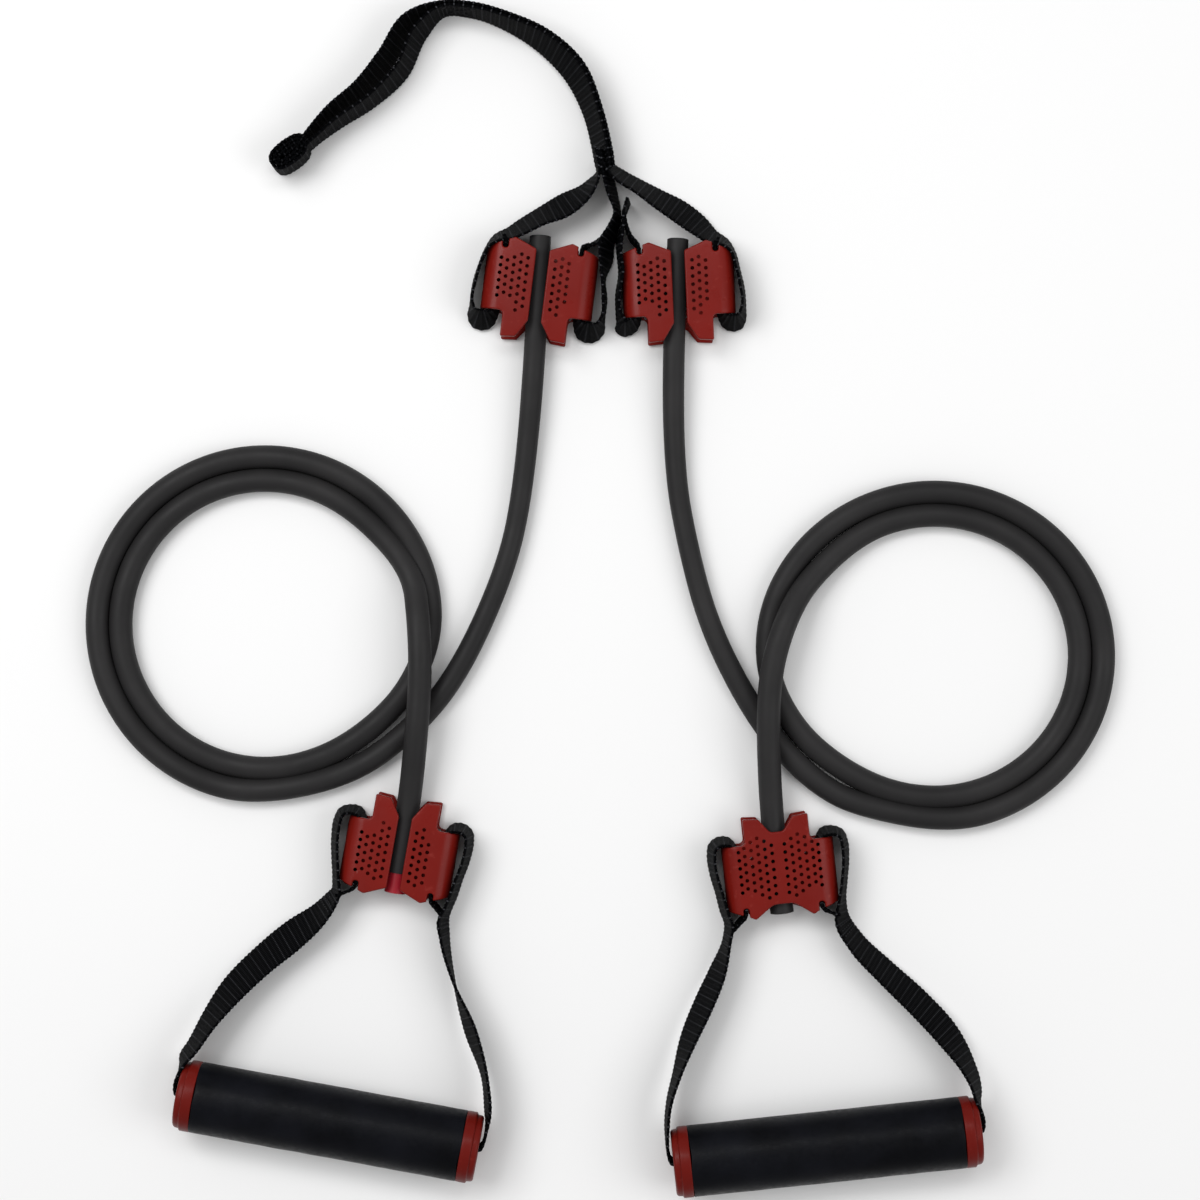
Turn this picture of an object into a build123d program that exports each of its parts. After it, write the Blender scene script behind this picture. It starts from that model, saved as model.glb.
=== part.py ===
"""Portable resistance-cable set, laid out flat.

Two rubber tubes hang from a webbing harness by moulded cable pockets and carry a hand grip each.
Millimetres, +Z up. The origin is on the floor under the middle of the webbing, pockets and grips.
The anchor strap reaches towards +Y and the grips lie towards -Y.
"""
import os
from math import cos, hypot, radians, sin, tan

from build123d import *

# Driving dimensions
TUBE_DIA = 11.0          # outside diameter of the rubber tube
TUBE_BORE = 6.0          # hole through the tube
TUBE_REST = 5.6          # height of the tube's axis where it lies on the floor
TUBE_OVER = 17.6         # height of its axis where it crosses over itself
PLUG_LENGTH = 12.0       # stopper pressed into each end of the tube
PLUG_HEAD = 9.5          # part of the left lower plug that still stands out

WEB_WIDTH = 19.0         # 3/4 inch webbing
WEB_THICK = 1.6
THROUGH_WIDTH = 18.0     # the webbing is drawn in a little inside the grip's caps
FOLD_GAP = 3.5           # webbing is cut this far from each fold's axis
FOLD_CLEAR = 11.0        # inside this distance the webbing is drawn in to a narrow tongue
TONGUE = 4.4             # height of that tongue

POCKET_HALF_WIDTH = 26.3
POCKET_DEPTH = 19.0
POCKET_WALL = 2.0
POCKET_CORNER = 8.0      # outside radius of the side walls
POCKET_LENGTH = 60.0     # blank length before the ends are trimmed
EDGE_ROUND = 0.7         # rounding of the moulding's outer edges
FLAP_GAP = 3.1           # half of the slot between the front flaps
HOLE_DIA = 1.8
FOLD_V = 26.0            # the strap folds this far above the pocket's middle
FOLD_U = 21.5            # and this far to each side

GRIP_DIA = 33.0
GRIP_CORE_DIA = 25.0
GRIP_CORE_BORE = 21.0
CAP_BORE = 19.6
CAP_LENGTH = 8.0         # visible length of each end cap
CAP_SPIGOT = 8.0         # length of the cap inside the core
FACE_GAP = 1.0           # between a cap's end and the near face of the strap over it
AXLE_HEIGHT = GRIP_DIA / 2
MID = POCKET_DEPTH / 2   # height of the pockets' mid-plane
COIL_BASE = 0.1          # height of the coils' undersides
LAYER_GAP = 0.2          # between two layers of webbing that lie together


# Pockets: centre, turn about Z, and whether the back panel faces up.
# The lower ones are the opposite hand of the upper ones.
POCKETS = {
    "left_upper": ((-20.3, 142.4), -7.0, False),
    "right_upper": ((45.5, 141.9), 2.5, False),
    "left_lower": ((-84.7, -118.2), 170.0, False),
    "right_lower": ((92.4, -126.4), 186.0, True),
}
# How far the outer run of each pocket's webbing loops stands from the middle (side +u, side -u)
LOOP_REACH = {
    "left_upper": (31.2, 30.6),
    "right_upper": (30.0, 28.6),
    "left_lower": (31.6, 31.0),
    "right_lower": (31.6, 31.0),
}

# Tube routes, from the upper pocket to the coil and from the coil to the lower pocket
LEFT_UPPER_ROUTE = [
    (-19.5, 168.5, MID),
    (-21.5, 117.6, MID),
    (-27.6, 49.0, TUBE_REST),
    (-36.1, 10.9, TUBE_REST),
    (-58.4, -37.9, TUBE_REST),
    (-81.6, -64.7, TUBE_REST),
    (-110.0, -84.9, TUBE_REST),
]
RIGHT_UPPER_ROUTE = [
    (45.1, 167.1, MID),
    (42.6, 112.0, MID),
    (43.6, 58.0, TUBE_REST),
    (49.4, 25.0, TUBE_REST),
    (58.9, -11.6, TUBE_REST),
    (74.1, -43.6, TUBE_REST),
    (90.8, -68.9, TUBE_REST),
    (110.4, -88.3, TUBE_REST),
    (129.9, -98.8, TUBE_REST),
]
LEFT_LOWER_ROUTE = [
    (-79.5, 12.0, 7.0),
    (-76.0, -12.0, TUBE_OVER),
    (-75.2, -38.0, TUBE_OVER + 0.2),
    (-77.2, -66.0, TUBE_OVER),
    (-80.9, -97.5, MID),
    (-86.2, -130.0, MID),
]
RIGHT_LOWER_ROUTE = [
    (105.3, 6.5, 7.5),
    (94.0, -14.0, TUBE_OVER - 0.6),
    (87.6, -38.0, TUBE_OVER),
    (86.8, -66.0, TUBE_OVER + 0.2),
    (89.1, -107.0, MID),
    (93.9, -148.8, MID),
]
# Two turns of the tube side by side: centre, radius of the outer turn's axis
COILS = {"left": ((-149.3, -13.6), 78.8), "right": ((165.9, -28.6), 78.6)}

# Hand grips: the two ends of the axle
AXLES = {
    "left": ((-187.6, -232.5), (-48.1, -258.1)),
    "right": ((45.1, -264.4), (187.5, -249.3)),
}


def local_frame(name):
    """Place of a pocket: u across it, v towards its notched end, w out of its front."""
    (x, y), turn, back_up = POCKETS[name]
    frame = Location((x, y, MID)) * Rotation(0, 0, turn)
    return frame * Rotation(0, 180, 0) if back_up else frame


def in_world(name, u, v):
    """World x and y of a point on a pocket's mid-plane."""
    place = (local_frame(name) * Location((u, v, 0))).position
    return place.X, place.Y


# ---------------------------------------------------------------- cable pocket

def mirrored(points):
    """Close an outline given on its +u side, from the tail end to the notched end."""
    return points + [(-u, v, radius) for u, v, radius in reversed(points)]


def side_outline():
    """Tail, webbing cut-out, shoulder and notch, which front and back share."""
    return [
        (15.3, -23.4, 0.8),
        (15.3, -11.2, 2.2),
        (30.0, -11.2, 0.0),
        (30.0, 17.6, 0.0),
        (25.4, 19.2, 1.0),
        (19.1, 21.3, 0.5),
        (19.1, 18.0, 1.3),
        (16.3, 18.0, 1.3),
        (16.3, 22.3, 0.5),
    ]


def outline_face(points):
    """Flat face inside a polygon whose corners (u, v, radius) are rounded."""
    path = FilletPolyline(*[(u, v) for u, v, _ in points], radius=[r for _, _, r in points], close=True)
    return make_face(path)


def back_outline():
    """Back panel: a shallow tube notch at the tail and an arch between the tips."""
    tail = [(3.0, -16.2, 3.0), (8.0, -22.8, 1.5)]
    arch = [(13.6, 23.8, 1.5), (4.8, 17.4, 6.0)]
    return mirrored(tail + side_outline() + arch)


def front_outline():
    """One front flap on the +u side, from the slot outwards."""
    start = [(FLAP_GAP, -14.8, 2.0), (8.2, -22.8, 1.5)]
    peak = [(13.4, 23.4, 1.5), (FLAP_GAP, 19.0, 1.2)]
    return start + side_outline() + peak


def hole_column(u, first, count, pitch):
    """One column of vent holes, as a list of places."""
    return [(u, first + pitch * row) for row in range(count)]


def front_holes():
    """Vent holes of the two front flaps: five columns on -u, three on +u."""
    three = [(6.5, -8.6, 7, 3.8), (9.6, -10.7, 8, 3.75), (12.8, -4.2, 6, 3.6)]
    two = [(15.9, -3.1, 5, 3.8), (18.9, -4.7, 6, 3.55)]
    places = []
    for u, first, count, pitch in three:
        places += hole_column(u, first, count, pitch)
    for u, first, count, pitch in three + two:
        places += hole_column(-u, first, count, pitch)
    return places


def back_holes():
    """Vent holes of the back panel: six columns on each side of a plain strip."""
    columns = [(3.05, -10.3, 7), (6.3, -12.5, 8), (9.5, -14.2, 8), (12.7, -12.6, 7), (15.9, -10.1, 6)]
    places = []
    for u, first, count in columns + [(18.6, -8.4, 6)]:
        for side in (-1, 1):
            places += hole_column(side * u, first, count, 3.78)
    return places


def on_skin(point):
    """Whether a point lies on the outside of the flattened tube that a pocket is cut from."""
    across = max(abs(point.X) - (POCKET_HALF_WIDTH - POCKET_CORNER), 0)
    deep = max(abs(point.Z) - (MID - POCKET_CORNER), 0)
    return abs(hypot(across, deep) - POCKET_CORNER) < 0.01


def rim_edges(body):
    """Edges of the outside skin, without the lines where its flat and round parts meet."""
    seams = (POCKET_HALF_WIDTH - POCKET_CORNER, POCKET_HALF_WIDTH)
    rims = []
    for edge in body.edges():
        start, end = edge @ 0, edge @ 1
        straight_along = abs(start.X - end.X) < 0.01 and abs(start.Z - end.Z) < 0.01
        at_seam = any(abs(abs(start.X) - seam) < 0.01 for seam in seams)
        if all(on_skin(edge @ share) for share in (0, 0.5, 1)) and not (straight_along and at_seam):
            rims.append(edge)
    return rims


def pocket():
    """Moulded cable pocket about its own centre: a flattened C, open at both ends."""
    outer = RectangleRounded(2 * POCKET_HALF_WIDTH, POCKET_DEPTH, POCKET_CORNER)
    inner = RectangleRounded(
        2 * (POCKET_HALF_WIDTH - POCKET_WALL), POCKET_DEPTH - 2 * POCKET_WALL, POCKET_CORNER - POCKET_WALL
    )
    section = Rotation(90, 0, 0) * (outer - inner)
    shell = extrude(section, amount=POCKET_LENGTH / 2, both=True)
    flap = outline_face(front_outline())
    front = extrude(flap, amount=MID + 1) + extrude(mirror(flap, about=Plane.YZ), amount=MID + 1)
    back = extrude(outline_face(back_outline()), amount=-(MID + 1))
    body = shell & (front + back)
    body = fillet(rim_edges(body), radius=EDGE_ROUND)
    drill = Cylinder(HOLE_DIA / 2, MID + 2, align=(Align.CENTER, Align.CENTER, Align.MIN))
    front_drills = [Pos(u, v, 1) * drill for u, v in front_holes()]
    back_drills = [Pos(u, v, -1 - (MID + 2)) * drill for u, v in back_holes()]
    return body - front_drills - back_drills


# --------------------------------------------------------------------- webbing

def section_at(here, heading, lean, height, shift):
    """Rectangle across a ribbon: on edge at lean 0, lying flat at lean 90 degrees."""
    upright = (Vector(0, 0, 1) - heading * heading.Z).normalized()
    side = heading.cross(upright)
    width_way = upright * cos(radians(lean)) + side * sin(radians(lean))
    thick_way = heading.cross(width_way)
    plane = Plane(origin=here + thick_way * shift, x_dir=width_way, z_dir=heading)
    return plane * Rectangle(height, WEB_THICK)


def ribbon(stations, shift=0.0):
    """Webbing through stations (x, y, z, lean, height), ruled from each to the next."""
    places = [Vector(x, y, z) for x, y, z, _, _ in stations]
    sections = []
    for index, (_, _, _, lean, height) in enumerate(stations):
        before = places[max(index - 1, 0)]
        after = places[min(index + 1, len(places) - 1)]
        heading = (after - before).normalized()
        sections.append(section_at(places[index], heading, lean, height, shift))
    return loft(sections, ruled=True)


def loop(reach):
    """Webbing loop on a pocket's +u side: through the notch, inside, and back round the side wall."""
    return ribbon([
        (20.4, 22.1, 0, 0, TONGUE),
        (19.0, 21.7, 0, 0, 8.0),
        (17.9, 20.6, 0, 0, 12.0),
        (17.7, 20.2, 0, 0, 18.6),
        (17.7, 19.0, 0, 0, 18.6),
        (17.8, 18.0, 0, 0, 13.6),
        (19.0, 5.0, 0, 0, 12.0),
        (20.4, -8.0, 0, 0, 11.0),
        (21.2, -13.5, 0, 0, 13.0),
        (23.2, -16.8, 0, 0, 15.0),
        (26.4, -17.4, 0, 0, 17.0),
        (29.0, -14.8, 0, 0, 18.4),
        (reach - 0.8, -8.0, 0, 0, 18.4),
        (reach, 2.0, 0, 0, 18.4),
        (reach - 1.2, 12.0, 0, 0, 18.4),
        (28.4, 18.6, 0, 0, 14.0),
        (25.4, 21.6, 0, 0, 8.0),
        (22.6, 22.1, 0, 0, TONGUE),
    ])


def sewn_patch():
    """Sewn overlap where a loop's two ends meet, on the +u side."""
    return Pos(21.5, 22.1, 0) * Box(2.2, 1.6, TONGUE)


def other_side(solid):
    return mirror(solid, about=Plane.YZ)


def arm_from(name, side, stations):
    """Strap arm that starts as a narrow tongue at a pocket's fold and then runs through stations."""
    near = in_world(name, side * FOLD_U, FOLD_V + FOLD_GAP)
    far = in_world(name, side * FOLD_U, FOLD_V + FOLD_CLEAR)
    start = [(near[0], near[1], MID, 0, TONGUE), (far[0], far[1], MID, 0, TONGUE)]
    full = in_world(name, side * FOLD_U, FOLD_V + FOLD_CLEAR + 1.0)
    start.append((full[0], full[1], MID, 0, WEB_WIDTH))
    return ribbon(start + stations)


# ----------------------------------------------------------------------- tubes

def arc_radii(route, name):
    """Radius of the arc at each corner of a route, as large as its two runs allow."""
    points = [Vector(*place) for place in route]
    radii = []
    for before, here, after in zip(points, points[1:], points[2:]):
        turn = (here - before).get_angle(after - here)
        shorter = min((here - before).length, (after - here).length)
        radii.append(0.45 * shorter / tan(radians(turn / 2)))
    print(name, "arc radii:", [round(radius) for radius in radii])
    return radii


def tube_along(route, name):
    """Solid rubber tube along a route of straight runs joined by tangent arcs."""
    path = FilletPolyline(*route, radius=arc_radii(route, name))
    start = Plane(origin=path @ 0, z_dir=path % 0)
    tube = sweep(start * Circle(TUBE_DIA / 2), path=path)
    print(name, "length", round(path.length, 1), "volume ratio",
          round(tube.volume / (path.length * (start * Circle(TUBE_DIA / 2)).area), 4))
    return tube


def coil(side):
    """Closed ring of the outer shape of the tube's two turns."""
    (x, y), radius = COILS[side]
    outside = Circle(radius + TUBE_DIA / 2)
    inside = Circle(radius - 1.5 * TUBE_DIA)
    return Pos(x, y, COIL_BASE) * extrude(outside - inside, amount=TUBE_DIA)


def plug_at(end, before, head):
    """Stopper in a tube's end, with a head standing out of it where one shows."""
    outward = (Vector(*end) - Vector(*before)).normalized()
    mouth = Plane(origin=Vector(*end), z_dir=outward)
    shank = extrude(mouth * Circle(TUBE_BORE / 2), amount=-PLUG_LENGTH)
    if head:
        shank += extrude(mouth * Circle(TUBE_DIA / 2 - 0.5), amount=head)
    return shank


def largest(shape):
    return max(shape.solids(), key=lambda solid: solid.volume)


def tube_set(side, upper, lower, head):
    """Solids of one tube: upper and lower stretch, coil and the two end plugs."""
    ring = coil(side)
    upper_plug = plug_at(upper[0], upper[1], 0.0)
    lower_plug = plug_at(lower[-1], lower[-2], head)
    upper_tube = tube_along(upper, side + " upper") - ring - upper_plug
    lower_tube = tube_along(lower, side + " lower") - ring - lower_plug
    return {
        side + "_tube_upper_stretch": largest(upper_tube),
        side + "_tube_coil": ring,
        side + "_tube_lower_stretch": largest(lower_tube),
        side + "_tube_upper_plug": upper_plug,
        side + "_tube_lower_plug": lower_plug,
    }


# ------------------------------------------------------------------ hand grips

def grip_set(side):
    """Rubber sleeve, stiff core and two end caps of one hand grip, about its axle."""
    near, far = (Vector(x, y, AXLE_HEIGHT) for x, y in AXLES[side])
    length = (far - near).length
    axle = Plane(origin=(near + far) * 0.5, z_dir=far - near, x_dir=(0, 0, 1)).location
    sleeve_length = length - 2 * CAP_LENGTH
    sleeve = Cylinder(GRIP_DIA / 2, sleeve_length) - Cylinder(GRIP_CORE_DIA / 2, sleeve_length)
    core = Cylinder(GRIP_CORE_DIA / 2, sleeve_length) - Cylinder(GRIP_CORE_BORE / 2, sleeve_length)
    cap = Pos(0, 0, sleeve_length / 2) * end_cap()
    return {
        side + "_grip_sleeve": axle * sleeve,
        side + "_grip_core": axle * core,
        side + "_grip_cap_outer": axle * (cap if side == "right" else Rotation(0, 180, 0) * cap),
        side + "_grip_cap_inner": axle * (Rotation(0, 180, 0) * cap if side == "right" else cap),
    }


def end_cap():
    """Cap standing on z = 0: flange with a stepped rim, and a spigot below that fits the core."""
    rim = Vector(GRIP_DIA / 2, 0)
    profile = Polyline(
        (CAP_BORE / 2, -CAP_SPIGOT),
        (GRIP_CORE_BORE / 2, -CAP_SPIGOT),
        (GRIP_CORE_BORE / 2, 0),
        (rim.X, 0),
        (rim.X, 4.6),
        (rim.X - 0.9, 5.2),
        (rim.X - 1.1, 7.2),
        (rim.X - 2.2, CAP_LENGTH),
        (CAP_BORE / 2 + 1.4, CAP_LENGTH),
        (CAP_BORE / 2, CAP_LENGTH - 1.4),
        (CAP_BORE / 2, -CAP_SPIGOT),
    )
    return revolve(Plane.XZ * make_face(profile), axis=Axis.Z)


# Stations (x, y, z, lean, height) between a lower pocket and its grip's caps
STRAP_ARMS = {
    "left": (
        [
            (-130.2, -157.5, 10.0, 35, WEB_WIDTH),
            (-150.3, -175.5, 11.5, 55, WEB_WIDTH),
            (-168.5, -194.0, 13.0, 40, WEB_WIDTH),
            (-181.0, -209.0, 15.5, 15, WEB_WIDTH),
        ],
        [
            (-62.3, -172.4, 10.5, -15, WEB_WIDTH),
            (-58.0, -185.0, 11.5, 8, WEB_WIDTH),
            (-50.8, -206.0, 13.5, 25, WEB_WIDTH),
            (-45.0, -226.0, 15.5, 10, WEB_WIDTH),
        ],
    ),
    "right": (
        [
            (127.6, -168.0, 10.0, -20, WEB_WIDTH),
            (142.0, -180.5, 11.5, -50, WEB_WIDTH),
            (162.1, -197.0, 13.0, -45, WEB_WIDTH),
            (177.5, -214.0, 15.0, -25, WEB_WIDTH),
            (186.3, -226.0, 16.0, -8, WEB_WIDTH),
        ],
        [
            (68.0, -172.0, 10.0, 15, WEB_WIDTH),
            (58.9, -190.0, 11.5, 35, WEB_WIDTH),
            (47.7, -215.8, 14.0, 20, WEB_WIDTH),
            (42.2, -236.0, 16.0, 6, WEB_WIDTH),
        ],
    ),
}


def over_cap(side, end):
    """Stations of a strap on a cap's outer face, from its rim to the axle."""
    near, far = (Vector(x, y, AXLE_HEIGHT) for x, y in AXLES[side])
    here, other = (near, far) if end == "near" else (far, near)
    outward = (here - other).normalized()
    radial = Vector(-outward.Y, outward.X, 0)
    radial = radial if radial.Y > 0 else radial * -1
    face = here + outward * (WEB_THICK / 2 + FACE_GAP)
    stations = [face + radial * 15.0, face + radial * 7.0, face - radial * (WEB_THICK / 2)]
    return [(place.X, place.Y, place.Z, 0, WEB_WIDTH) for place in stations]


def strap_set(side):
    """Grip strap: one arm from each notch of the lower pocket, and the run through the grip."""
    near, far = (Vector(x, y, AXLE_HEIGHT) for x, y in AXLES[side])
    run = (far - near).length + 2 * FACE_GAP
    axle = Plane(origin=(near + far) * 0.5, z_dir=far - near, x_dir=(0, 0, 1)).location
    pocket_name = side + "_lower"
    outer, inner = STRAP_ARMS[side]
    ends = ("near", "far") if side == "left" else ("far", "near")
    return {
        side + "_strap_outer_arm": arm_from(pocket_name, 1, outer + over_cap(side, ends[0])),
        side + "_strap_inner_arm": arm_from(pocket_name, -1, inner + over_cap(side, ends[1])),
        side + "_strap_through_grip": axle * Box(THROUGH_WIDTH, WEB_THICK, run),
    }


# ------------------------------------------------------ harness and anchor strap

TRUNK_FOOT = Vector(9.8, 203.0, MID)         # fold between harness and anchor strap
TRUNK_WAY = Vector(-0.197, 0.98, 0).normalized()


def trunk_point(distance):
    return TRUNK_FOOT + TRUNK_WAY * distance


def harness_set():
    """Left and right arms, and the two strips of the centre arm."""
    knot = trunk_point(-FOLD_CLEAR - 1.0)
    left_arm = arm_from("left_upper", -1, [
        (-24.5, 186.5, MID + 0.3, -20, WEB_WIDTH),
        (-10.0, 187.5, MID + 0.5, -40, WEB_WIDTH),
        (2.0, 190.0, MID + 0.3, -20, WEB_WIDTH),
        (knot.X - 1.7, knot.Y, MID, 0, WEB_WIDTH),
    ])
    right_arm = arm_from("right_upper", 1, [
        (58.0, 184.5, MID + 0.3, 20, WEB_WIDTH),
        (42.0, 189.0, MID + 0.8, 45, WEB_WIDTH),
        (26.0, 192.0, MID + 0.3, 20, WEB_WIDTH),
        (knot.X + 3.4, knot.Y + 1.5, MID, 0, WEB_WIDTH),
    ])
    centre_left = arm_from("left_upper", 1, [
        (11.4, 182.5, MID, 0, WEB_WIDTH),
        (knot.X + 0.6, knot.Y - 2.0, MID, 0, WEB_WIDTH),
    ])
    centre_right = arm_from("right_upper", -1, [
        (17.8, 182.0, MID, 0, WEB_WIDTH),
        (19.0, 187.0, MID, 0, WEB_WIDTH),
    ])
    near, far = trunk_point(-FOLD_GAP), trunk_point(-FOLD_CLEAR)
    arms = left_arm + right_arm + centre_left
    tongue = Plane(origin=(near + far) * 0.5, z_dir=TRUNK_WAY, x_dir=(0, 0, 1)).location
    knot_block = tongue * Box(TONGUE, 2 * (WEB_THICK + LAYER_GAP), (near - far).length)
    return {
        "harness_left_arm": left_arm,
        "harness_right_arm": right_arm,
        "harness_centre_left_strip": centre_left,
        "harness_centre_right_strip": centre_right,
        "harness_knot": largest(knot_block - arms),
    }


ANCHOR_TRUNK = [
    (4.3, 229.2, 10.0, 25, WEB_WIDTH),
    (-3.2, 246.5, 10.5, 38, WEB_WIDTH),
    (-15.8, 259.1, 10.5, 42, WEB_WIDTH),
    (-34.5, 268.6, 10.2, 32, WEB_WIDTH),
    (-53.1, 275.0, 10.0, 15, WEB_WIDTH),
    (-66.0, 275.8, 9.8, 8, WEB_WIDTH),
]
ANCHOR_OUTER = [
    (-80.5, 267.5, 9.8, 8, WEB_WIDTH),
    (-94.7, 252.5, 9.8, 5, WEB_WIDTH),
    (-106.5, 239.0, 9.6, 0, WEB_WIDTH),
    (-120.5, 226.0, 9.5, 0, WEB_WIDTH),
    (-127.4, 213.8, 9.5, 0, 16.0),
]
ANCHOR_INNER = [
    (-75.0, 264.5, 9.8, 8, WEB_WIDTH),
    (-84.4, 247.0, 9.8, 12, WEB_WIDTH),
    (-99.5, 230.5, 9.7, 10, WEB_WIDTH),
    (-115.0, 218.5, 9.5, 0, WEB_WIDTH),
    (-125.6, 210.9, 9.5, 0, 16.0),
]
STOPPER_CENTRE = (-136.3, 206.8)
STOPPER_TURN = 31.0


def anchor_set():
    """Doubled anchor strap with its sewn stopper."""
    foot = [(*trunk_point(reach), 0, WEB_WIDTH) for reach in (FOLD_GAP, 12.0)]
    half = (WEB_THICK + LAYER_GAP) / 2
    place = Pos(*STOPPER_CENTRE, 0) * Rotation(0, 0, STOPPER_TURN)
    core_oval = SlotOverall(13.0, 7.0)
    wrap = Pos(0, 0, 0.5) * extrude(SlotOverall(19.0, 13.0) - core_oval, amount=18.0)
    core = Pos(0, 0, 1.5) * extrude(core_oval, amount=16.0)
    return {
        "anchor_outer_layer": ribbon(foot + ANCHOR_TRUNK + ANCHOR_OUTER, half),
        "anchor_inner_layer": ribbon(foot + ANCHOR_TRUNK + ANCHOR_INNER, -half),
        "stopper_wrap": place * wrap,
        "stopper_core": place * core,
    }


def pocket_set(name, moulding):
    """One pocket with its two webbing loops and their sewn overlaps."""
    frame = local_frame(name)
    loop_a, loop_b = (loop(reach) for reach in LOOP_REACH[name])
    patches = Compound([largest(sewn_patch() - loop_a), other_side(largest(sewn_patch() - loop_b))])
    return {
        name + "_pocket": frame * moulding,
        name + "_loop_a": frame * loop_a,
        name + "_loop_b": frame * other_side(loop_b),
        name + "_loop_stitching": frame * patches,
    }


def main():
    nodes = {}
    nodes.update(harness_set())
    nodes.update(anchor_set())
    moulding = pocket()
    for name in POCKETS:
        hand = other_side(moulding) if name.endswith("lower") else moulding
        nodes.update(pocket_set(name, hand))
    nodes.update(tube_set("left", LEFT_UPPER_ROUTE, LEFT_LOWER_ROUTE, PLUG_HEAD))
    nodes.update(tube_set("right", RIGHT_UPPER_ROUTE, RIGHT_LOWER_ROUTE, 0.0))
    for side in ("left", "right"):
        nodes.update(grip_set(side))
        nodes.update(strap_set(side))
    os.makedirs("parts", exist_ok=True)
    for name, solid in nodes.items():
        export_step(solid, "parts/" + name + ".step")


main()
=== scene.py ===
"""Looks of a portable resistance-cable set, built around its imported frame. Metres, Z up."""
from math import cos, radians, sin, tau

import bmesh
import bpy
from mathutils import Matrix, Vector, noise


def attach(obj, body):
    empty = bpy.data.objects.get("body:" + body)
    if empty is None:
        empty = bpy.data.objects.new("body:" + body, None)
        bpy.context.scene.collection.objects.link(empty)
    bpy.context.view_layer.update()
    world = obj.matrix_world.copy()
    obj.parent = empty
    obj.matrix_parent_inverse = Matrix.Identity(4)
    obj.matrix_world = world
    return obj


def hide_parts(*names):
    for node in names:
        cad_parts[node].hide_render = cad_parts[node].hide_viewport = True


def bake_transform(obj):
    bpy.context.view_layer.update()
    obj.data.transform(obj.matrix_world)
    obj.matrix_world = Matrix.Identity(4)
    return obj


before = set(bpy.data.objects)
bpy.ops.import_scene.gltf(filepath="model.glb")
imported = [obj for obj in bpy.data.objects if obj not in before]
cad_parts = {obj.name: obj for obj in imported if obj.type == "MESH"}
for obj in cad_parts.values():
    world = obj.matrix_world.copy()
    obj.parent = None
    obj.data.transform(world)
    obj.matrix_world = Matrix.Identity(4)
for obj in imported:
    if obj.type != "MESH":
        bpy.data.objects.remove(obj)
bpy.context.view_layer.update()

MM = 0.001
# Down to the studio, coordinates and sizes are in mm unless MM or a comment says otherwise.
TUBE_DIA = 11.0 * MM
TUBE_REST = 5.6          # height of a tube's axis on the floor
TUBE_OVER = 17.6         # height of its axis where it crosses over itself
WEB_WIDTH = 19.0
WEB_THICK = 1.6
MID = 9.5                # height of the pockets' mid-plane
AXLE_HEIGHT = 16.5       # height of the grips' axes


# ------------------------------------------------------------------- materials

MIX_FACTOR, MIX_FIRST, MIX_SECOND, MIX_RESULT = 0, 6, 7, 2   # sockets of a Mix node set to RGBA


class Shading:
    """A Principled material with short calls for the nodes that feed it."""

    def __init__(self, name, colour, roughness, **fixed):
        self.material = bpy.data.materials.new(name)
        self.material.use_nodes = True
        self.tree = self.material.node_tree
        self.shader = self.tree.nodes["Principled BSDF"]
        self.shader.inputs["Base Color"].default_value = (*colour, 1.0)
        self.shader.inputs["Roughness"].default_value = roughness
        for socket, value in fixed.items():
            self.shader.inputs[socket.replace("_", " ")].default_value = value
        self.coords = self.tree.nodes.new("ShaderNodeTexCoord")
        self.height = None

    def link(self, output, target):
        self.tree.links.new(output, target)

    def noise(self, scale, detail):
        """Noise in object space, with about `scale` patches to the metre."""
        texture = self.tree.nodes.new("ShaderNodeTexNoise")
        texture.inputs["Scale"].default_value = scale
        texture.inputs["Detail"].default_value = detail
        self.link(self.coords.outputs["Object"], texture.inputs["Vector"])
        return texture.outputs["Fac"]

    def math(self, operation, first, second=0.0):
        node = self.tree.nodes.new("ShaderNodeMath")
        node.operation = operation
        for socket, value in zip(node.inputs, (first, second)):
            if isinstance(value, (int, float)):
                socket.default_value = value
            else:
                self.link(value, socket)
        return node.outputs["Value"]

    def spread(self, value, low, high, to_low=0.0, to_high=1.0):
        """The value's range low to high, stretched onto to_low to to_high and held there."""
        node = self.tree.nodes.new("ShaderNodeMapRange")
        names = ("From Min", "From Max", "To Min", "To Max")
        for name, number in zip(names, (low, high, to_low, to_high)):
            node.inputs[name].default_value = number
        self.link(value, node.inputs["Value"])
        return node.outputs["Result"]

    def mix(self, factor, first, second):
        node = self.tree.nodes.new("ShaderNodeMix")
        node.data_type = "RGBA"
        for index, value in ((MIX_FIRST, first), (MIX_SECOND, second)):
            if isinstance(value, tuple):
                node.inputs[index].default_value = (*value, 1.0)
            else:
                self.link(value, node.inputs[index])
        self.link(factor, node.inputs[MIX_FACTOR])
        return node.outputs[MIX_RESULT]

    def colour(self, output):
        self.link(output, self.shader.inputs["Base Color"])

    def rough(self, output):
        self.link(output, self.shader.inputs["Roughness"])

    def bump(self, output, distance, strength):
        """Relief on top of the bumps already there, `distance` metres deep."""
        node = self.tree.nodes.new("ShaderNodeBump")
        node.inputs["Distance"].default_value = distance
        node.inputs["Strength"].default_value = strength
        self.link(output, node.inputs["Height"])
        if self.height is not None:
            self.link(self.height, node.inputs["Normal"])
        self.height = node.outputs["Normal"]
        self.link(self.height, self.shader.inputs["Normal"])


DRIFT = 1.16             # how much paler moulded plastic drifts


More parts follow.
